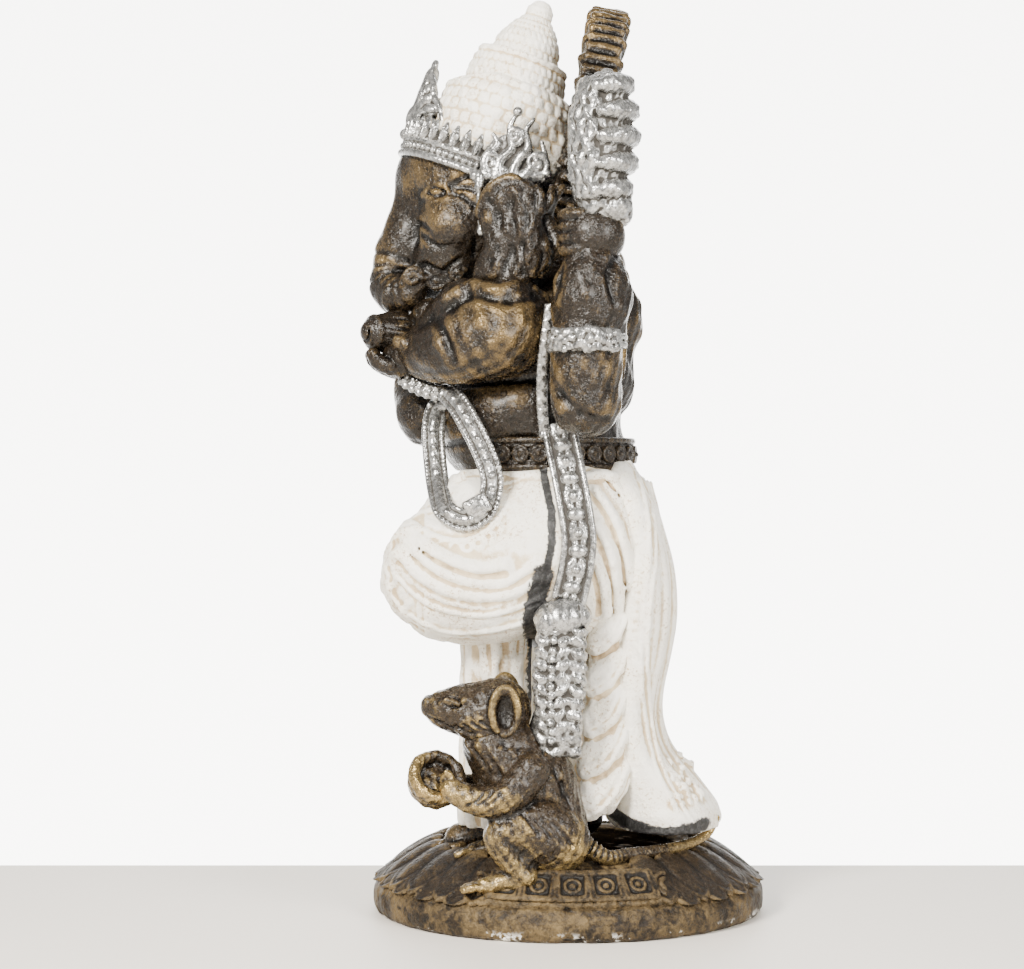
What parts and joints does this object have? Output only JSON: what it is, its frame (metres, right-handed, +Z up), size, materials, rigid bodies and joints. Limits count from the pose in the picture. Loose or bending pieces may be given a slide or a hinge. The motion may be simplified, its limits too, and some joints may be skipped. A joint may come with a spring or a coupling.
{
  "type": "ganesha idol",
  "caption": "Elephant-headed idol in painted cast plaster, standing on a round lotus base with a halo, a tiered headdress and a mouse at its side; rests on a shelf or altar.",
  "frame": {"origin": "centre of the flat round underside of the base", "axes": "+Z up, the idol faces -Y, its own left hand side and the mouse are on +X"},
  "size_m": [0.15, 0.1543, 0.35],
  "materials": {
    "steel_rod": "plain mild steel rod, sealed inside",
    "base_paint": "dark umber paint with antique gold dry brush, white plaster showing at chipped edges",
    "white_paint": "matt cream white paint with tan stain in the folds",
    "silver_paint": "silver metallic paint with dark recesses",
    "bronze_paint": "glossy dark bronze paint with gold dry brush on the high spots",
    "mouse_paint": "glossy dark bronze paint with heavier gold dry brush"
  },
  "bodies": {
    "root": {"armature_rods": "steel_rod", "base_band": "base_paint", "lotus_ring": "base_paint", "base_deck": "base_paint", "lotus_petals": "base_paint", "tile_panels": "base_paint", "hip_wrap": "white_paint", "left_thigh": "white_paint", "left_shin": "white_paint", "right_leg": "white_paint", "back_drape": "white_paint", "left_side_pleats": "white_paint", "right_side_pleats": "white_paint", "front_pleats": "white_paint", "headdress_lower_tier": "white_paint", "headdress_middle_tier": "white_paint", "headdress_top": "white_paint", "lotus_bud": "silver_paint", "axe": "silver_paint", "front_right_armband": "silver_paint", "rear_left_armband": "silver_paint", "rear_right_armband": "silver_paint", "chest_strip": "silver_paint", "left_sash_knot": "silver_paint", "left_sash": "silver_paint", "right_sash": "silver_paint", "loop_sash": "silver_paint", "left_sash_tassel": "silver_paint", "tiara_band": "silver_paint", "tiara_crest": "silver_paint", "left_ear_scroll": "silver_paint", "right_ear_scroll": "silver_paint", "ear_pendants": "silver_paint", "torso": "bronze_paint", "left_foot": "bronze_paint", "right_foot": "bronze_paint", "waist_belt": "bronze_paint", "belt_medallions": "bronze_paint", "head": "bronze_paint", "trunk": "bronze_paint", "tusks": "bronze_paint", "halo": "bronze_paint", "hair_locks": "bronze_paint", "front_left_arm": "bronze_paint", "front_right_arm": "bronze_paint", "rear_left_arm": "bronze_paint", "rear_right_arm": "bronze_paint", "front_left_hand": "bronze_paint", "front_right_hand": "bronze_paint", "rear_left_hand": "bronze_paint", "rear_right_hand": "bronze_paint", "modak": "bronze_paint", "left_ear": "bronze_paint", "right_ear": "bronze_paint", "mouse_body": "mouse_paint", "mouse_head": "mouse_paint", "mouse_limbs": "mouse_paint", "mouse_bowl": "mouse_paint", "mouse_tail": "mouse_paint"}
  },
  "joints": []
}
